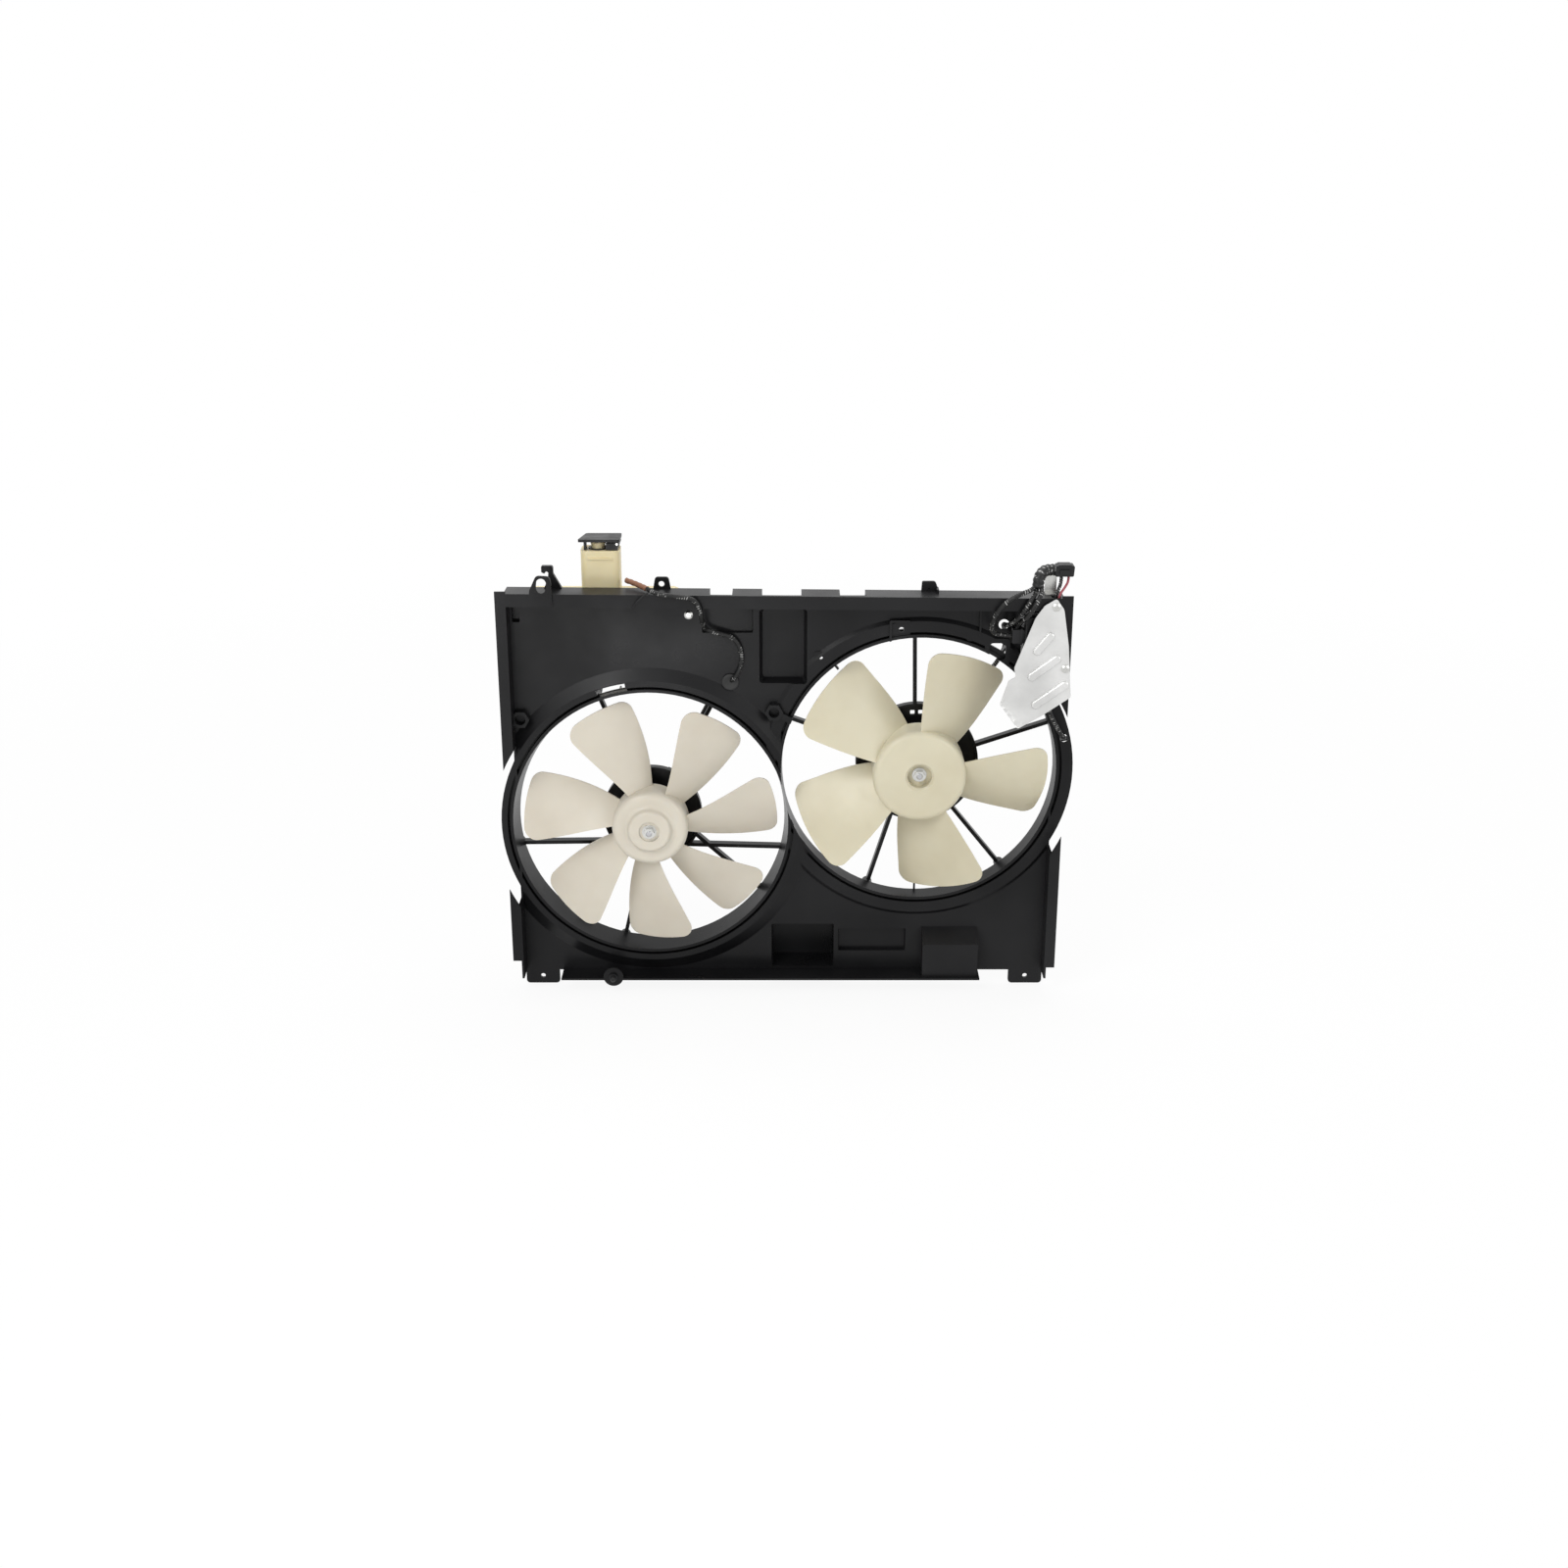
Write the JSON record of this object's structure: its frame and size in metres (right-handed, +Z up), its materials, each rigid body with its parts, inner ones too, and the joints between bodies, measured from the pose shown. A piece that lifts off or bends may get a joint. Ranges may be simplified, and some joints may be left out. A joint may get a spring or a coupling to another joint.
{
  "type": "twin radiator cooling fan",
  "caption": "Moulded radiator fan shroud with two ducted electric fans, an overflow tank with a hinged cap, a fan controller under a heat shield, and its wiring.",
  "frame": {"origin": "midway between the two lower mounting holes, on the front face of the panel", "axes": "+X to the right as seen from the radiator, +Y towards the engine, +Z up"},
  "size_m": [0.759, 0.1143, 0.6203],
  "materials": {
    "bronze": "sintered bronze",
    "brush_card": "phenolic board",
    "carbon": "carbon",
    "cast_aluminium": "cast",
    "connector_black": "moulded plastic",
    "copper_winding": "enamelled copper",
    "core_steel": "laminated",
    "cream_plastic": "satin undyed plastic",
    "ferrite": "sintered",
    "loom_sleeve": "braided sleeve",
    "machined_steel": "ground",
    "motor_can": "black zinc",
    "moulded_black": "satin moulded glass-filled nylon",
    "red_insulation": "insulation",
    "seal_rubber": "moulded rubber",
    "shield_aluminium": "pressed sheet",
    "tank_plastic": "translucent undyed plastic, yellowed",
    "warm_cream_plastic": "satin undyed plastic",
    "zinc_steel": "zinc plated"
  },
  "bodies": {
    "frame": {"connector_bracket": "zinc_steel", "controller_base": "cast_aluminium", "controller_lid": "moulded_black", "controller_loom": "loom_sleeve", "controller_plug": "connector_black", "controller_screws": "zinc_steel", "dark_lead": "loom_sleeve", "heat_shield": "shield_aluminium", "left_brush_card": "brush_card", "left_motor_brushes": "carbon", "left_motor_bushes": "bronze", "left_motor_can": "motor_can", "left_motor_end_cap": "motor_can", "left_motor_loom": "loom_sleeve", "left_motor_magnets": "ferrite", "left_motor_plug": "connector_black", "left_motor_screws": "zinc_steel", "left_motor_stay": "moulded_black", "left_stay_screws": "zinc_steel", "locating_pin": "connector_black", "main_connector": "connector_black", "main_loom": "loom_sleeve", "panel_screw": "zinc_steel", "red_lead": "red_insulation", "reservoir_hinge_pin": "zinc_steel", "reservoir_neck_collar": "connector_black", "reservoir_tank": "tank_plastic", "right_brush_card": "brush_card", "right_motor_brushes": "carbon", "right_motor_bushes": "bronze", "right_motor_can": "motor_can", "right_motor_end_cap": "motor_can", "right_motor_loom": "loom_sleeve", "right_motor_magnets": "ferrite", "right_motor_plug": "connector_black", "right_motor_screws": "zinc_steel", "right_motor_stay": "moulded_black", "right_stay_screws": "zinc_steel", "shield_screws": "zinc_steel", "shroud": "moulded_black", "side_loom": "loom_sleeve", "signal_loom": "loom_sleeve", "tank_screw": "zinc_steel"},
    "left_fan": {"left_fan_wheel": "cream_plastic", "left_fan_washer": "zinc_steel", "left_fan_nut": "zinc_steel", "left_motor_shaft": "machined_steel", "left_armature_core": "core_steel", "left_armature_winding": "copper_winding", "left_commutator": "copper_winding"},
    "right_fan": {"right_fan_wheel": "warm_cream_plastic", "right_fan_washer": "zinc_steel", "right_fan_nut": "zinc_steel", "right_motor_shaft": "machined_steel", "right_armature_core": "core_steel", "right_armature_winding": "copper_winding", "right_commutator": "copper_winding"},
    "reservoir_lid": {"reservoir_cap": "connector_black", "reservoir_cap_seal": "seal_rubber"}
  },
  "joints": [
    {"name": "left_fan_spin", "type": "hinge", "parent": "frame", "child": "left_fan", "pos_m": [-0.178, 0, 0.227], "axis": [0, 1, 0], "continuous": true},
    {"name": "right_fan_spin", "type": "hinge", "parent": "frame", "child": "right_fan", "pos_m": [0.178, 0, 0.3015], "axis": [0, 1, 0], "continuous": true},
    {"name": "reservoir_lid_hinge", "type": "hinge", "parent": "frame", "child": "reservoir_lid", "pos_m": [-0.214, 0.028, 0.602], "axis": [0, 1, 0], "range_deg": [0, 110]}
  ]
}
